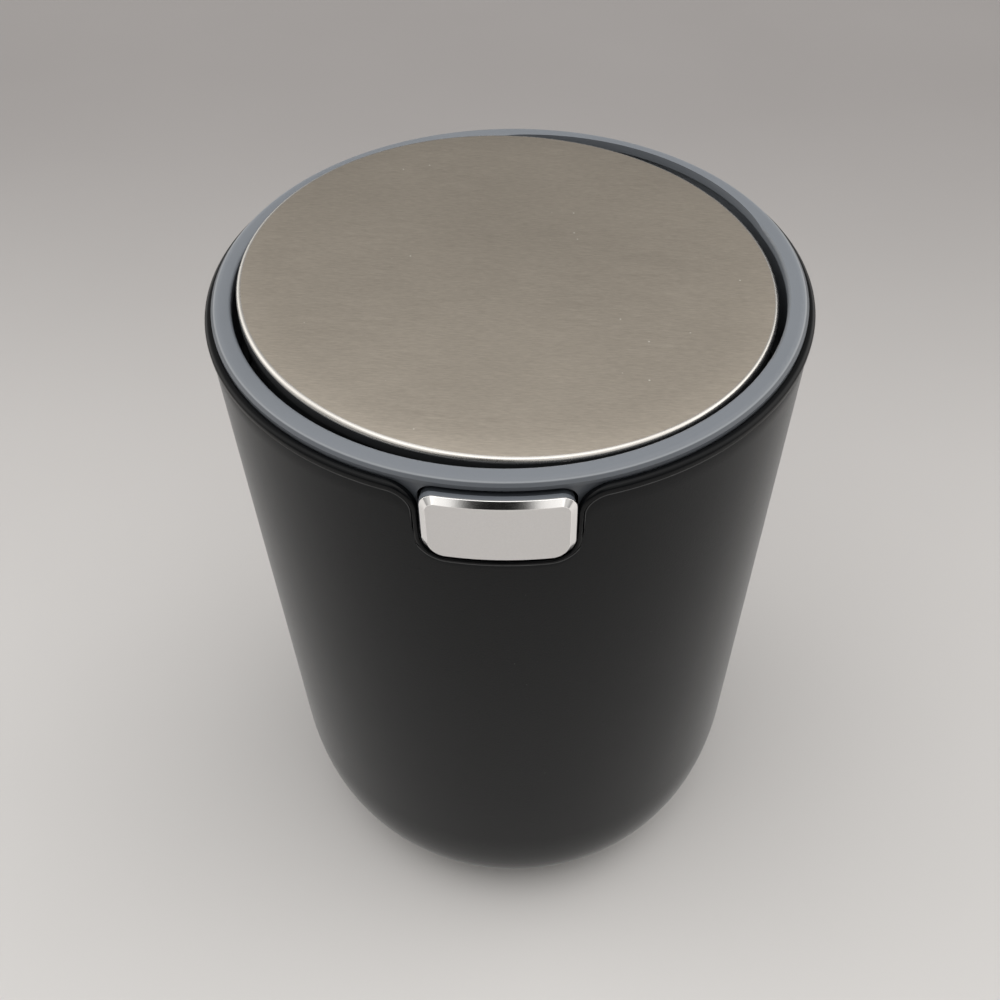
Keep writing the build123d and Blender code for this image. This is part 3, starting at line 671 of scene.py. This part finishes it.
# Both profiles run from back to front: the inset from the outline and the distance from the axis.
body_back = 62.6
body_split = 64.05
body_front = 65.1
body_margin = 0.1
body_bottom_corner = 6.0
body_profile = [(0.2, body_back), (0.1, body_split - 0.2), (0, body_split + 0.1), (0, body_front)]
plate_bottom_corner = 4.4
plate_front = 66.4
plate_bevel = 1.15
plate_bevel_start = 65.35
back_shares = (0.5, 0.97)
face_shares = (0.94, 0.85, 0.7, 0.5, 0.3, 0.12)
flat_points = 16
upright_points = 10
lower_points = 14
upper_points = 12
plate_profile = [
    (0, body_front), (0, plate_bevel_start - 0.05), (0.03, plate_bevel_start),
    (plate_bevel - 0.06, plate_front - 0.03), (plate_bevel + 0.02, plate_front),
]
body_deep = (0.11, 0.122, 0.14, 1)
body_pale = (0.135, 0.148, 0.165, 1)
slide_shade_deep = (0.014, 0.017, 0.022, 1)
slide_shade_pale = (0.022, 0.026, 0.032, 1)
plate_deep = (0.615, 0.604, 0.598, 1)
plate_pale = (0.695, 0.684, 0.678, 1)
bevel_deep = (0.93, 0.92, 0.91, 1)
bevel_pale = (0.98, 0.97, 0.96, 1)

button_grey = Finish("button_satin_grey")
button_cloud = button_grey.noise(8, 3)
button_grey.set(
    base_color=button_grey.mix(button_cloud, body_deep, body_pale),
    roughness=0.32 + button_cloud * 0.1,
    normal=button_grey.bumped(button_grey.noise(0.3), 0.015, 0.4),
)
# Painted shade: a dark finish for the body's rear, where it sits in the gap under the ring.
slide_dark = Finish("slide_dark")
slide_shade_cloud = slide_dark.noise(5, 3)
slide_dark.set(
    base_color=slide_dark.mix(slide_shade_cloud, slide_shade_deep, slide_shade_pale),
    roughness=0.5 + slide_shade_cloud * 0.15,
    normal=slide_dark.bumped(slide_dark.noise(0.4, 3), 0.02, 0.4),
)
plate_satin = Finish("plate_satin", metallic=1.0)
frost = plate_satin.noise(0.35, 3)
plate_satin.set(
    base_color=plate_satin.mix(frost, plate_deep, plate_pale),
    roughness=0.36 + frost * 0.12,
    normal=plate_satin.bumped(frost, 0.015, 0.5),
)
plate_bright = Finish("plate_polished_bevel", metallic=1.0)
buff = plate_bright.noise(1.4, 3)
plate_bright.set(
    base_color=plate_bright.mix(buff, bevel_deep, bevel_pale),
    roughness=0.06 + buff * 0.06,
    normal=plate_bright.bumped(plate_bright.noise(0.6), 0.006, 0.3),
)


def button_outline(inset, lower_corner):
    """The button's outline in X and Z, drawn in from its edge."""
    half, low, high = button_half_width - inset, button_bottom + inset, button_top - inset
    lower = max(lower_corner - inset, least_corner)
    upper = max(button_top_corner - inset, least_corner)
    lower_turn, upper_turn = steps(0, pi / 2, lower_points), steps(0, pi / 2, upper_points)
    run = [(x, low) for x in steps(0, half - lower, flat_points)]
    run += [(half - lower + lower * sin(a), low + lower - lower * cos(a)) for a in lower_turn]
    run += [(half, z) for z in steps(low + lower, high - upper, upright_points)]
    run += [(half - upper + upper * cos(a), high - upper + upper * sin(a)) for a in upper_turn]
    run += [(x, high) for x in steps(half - upper, 0, flat_points)]
    return run + [(0, high)] + [(-x, z) for x, z in run[:0:-1]]


def button_row(inset, radius, share=1.0, lower_corner=plate_bottom_corner, offset=button_offset):
    """The outline laid on an upright cylinder, drawn towards its middle by a share."""
    outline = button_outline(inset, lower_corner)
    row = [(offset + x * share, middle_height + (z - middle_height) * share) for x, z in outline]
    return [(x, -sqrt(radius ** 2 - x ** 2), z) for x, z in row]


body_rows = [[(0, -body_back, middle_height)]]
for inset, radius in body_profile:
    body_rows += [button_row(body_margin + inset, radius, 1, body_bottom_corner, 0)]
body_rows += [[(0, -body_front, middle_height)]]
# The rear bands take the painted shade.
slide_shade_bands = {0: 1, 1: 1}
button_shell = loft("button_grey_body", body_rows, "button", [button_grey, slide_dark], slide_shade_bands, 50)
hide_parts("button_body")

plate_rows = [[(button_offset, -body_front, middle_height)]]
plate_rows += [button_row(0, body_front, share) for share in back_shares]
bevel_bands = dict.fromkeys(range(len(plate_rows), len(plate_rows) + len(plate_profile) - 1), 1)
plate_rows += [button_row(inset, radius) for inset, radius in plate_profile]
plate_rows += [button_row(*plate_profile[-1], share) for share in face_shares]
plate_rows += [[(button_offset, -plate_front, middle_height)]]
plate = loft("button_bright_plate", plate_rows, "button", [plate_satin, plate_bright], bevel_bands, 12)
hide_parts("button_plate")


# Table and studio light: a pale matt sheet under the can, painted darker towards the rear as shade,
# in a pale room with a window at each side and two small bright panes in front, dim at the rear,
# low in front and round the camera.
# One soft round lamp hangs overhead.
half_sheet = 3.0
sheet_shade_start = -0.2
sheet_shade_end = 0.45
near_deep = (0.63, 0.617, 0.608, 1)
near_pale = (0.67, 0.658, 0.649, 1)
far_shaded_deep = (0.27, 0.256, 0.252, 1)
far_shaded_pale = (0.3, 0.286, 0.282, 1)
room_colour = (1.0, 0.985, 0.96, 1)
room_light = 0.35
ceiling_light = 1.05
window_light = 1.1
pane_light = 0.75
lamp_size = 1.6
lamp_power = 5.5
lamp_place = (-0.1, 0.05, 1.3)

sheet_pale = Finish("sheet_pale", roughness=0.9, specular_ior_level=0.2)
mottle = sheet_pale.noise(160, 3)
away = sheet_pale.node("SeparateXYZ", None, {0: sheet_pale.place}, "Y")
near_colour = sheet_pale.mix(mottle, near_deep, near_pale)
far_shaded_colour = sheet_pale.mix(mottle, far_shaded_deep, far_shaded_pale)
# Painted shade: the sheet's colour darkens towards the rear.
sheet_pale.set(base_color=sheet_pale.mix(away.between(sheet_shade_start, sheet_shade_end), near_colour, far_shaded_colour))
sheet_corners = [(x * half_sheet, y * half_sheet, 0) for x, y in ((-1, -1), (1, -1), (1, 1), (-1, 1))]
sheet_mesh = bpy.data.meshes.new("table_sheet")
sheet_mesh.from_pydata(sheet_corners, [], [(0, 1, 2, 3)])
sheet_mesh.materials.append(sheet_pale.material)
table_sheet = bpy.data.objects.new("table_sheet", sheet_mesh)
bpy.context.collection.objects.link(table_sheet)


class Room(Finish):
    """The light that comes from each direction of the room."""

    def __init__(self, name):
        self.world = bpy.data.worlds.new(name)
        self.world.use_nodes = True
        self.tree = self.world.node_tree
        self.shader = self.tree.nodes["Background"]
        self.place = self.node("TexCoord", output="Generated")

    def towards(self, direction, full, fade):
        """A soft round patch: 1 within one angle of a direction, 0 beyond another, in degrees."""
        aim = Vector(direction).normalized()
        near = self.node("VectorMath", {"operation": "DOT_PRODUCT"}, {0: self.place, 1: aim}, "Value")
        return near.between(cos(radians(fade)), cos(radians(full)))


room = Room("pale_room")
ceiling = room.node("SeparateXYZ", None, {0: room.place}, "Z").between(0.0, 0.9)
left_window = room.towards((-0.8, 0.5, 0.25), 18, 48)
right_window = room.towards((0.85, 0.4, 0.3), 18, 48)
left_pane = room.towards((-0.43, -0.7, 0.56), 6, 22)
right_pane = room.towards((0.37, -0.73, 0.56), 8, 20)
rear_shade = room.towards((-0.1, 0.68, 0.72), 18, 52)
front_shade = room.towards((0, -0.95, 0.25), 20, 62)
camera_shade = room.towards((-0.05, -0.785, 0.6), 6, 14)
light = room_light + ceiling * ceiling_light + left_window * window_light + right_window * window_light
light = light * (1 - rear_shade * 0.7) * (1 - front_shade * 0.88)
light = (light + left_pane * pane_light + right_pane * pane_light) * (1 - camera_shade * 0.95)
room.set(color=room_colour, strength=light)
bpy.context.scene.world = room.world
bpy.context.scene.view_settings.view_transform = "Standard"

lamp = bpy.data.lights.new("overhead_light", "AREA")
lamp.shape = "DISK"
lamp.size = lamp_size
lamp.energy = lamp_power
overhead = bpy.data.objects.new("overhead_light", lamp)
overhead.location = lamp_place
bpy.context.collection.objects.link(overhead)


# Camera: it stands where the photograph's did, in front of the can and above it, and looks down
# at 46 degrees. It is turned round the can by the small angle that the button shows.
camera_turn = Matrix.Rotation(radians(2.4), 3, "Z")
camera_place = camera_turn @ Vector((0, -0.21378, 0.32126))
camera_forward = camera_turn @ Vector((-0.00957062, 0.69626317, -0.71772278))
camera_right = camera_turn @ Vector((0.99988515, -0.00177108, -0.0150513))
camera_up = camera_right.cross(camera_forward)
camera_axes = Matrix((camera_right, camera_up, -camera_forward)).transposed()
lens = bpy.data.cameras.new("photo_camera")
lens.sensor_width = 36
lens.lens = 43.2
camera = bpy.data.objects.new("photo_camera", lens)
camera.matrix_world = Matrix.Translation(camera_place) @ camera_axes.to_4x4()
bpy.context.collection.objects.link(camera)
bpy.context.scene.camera = camera
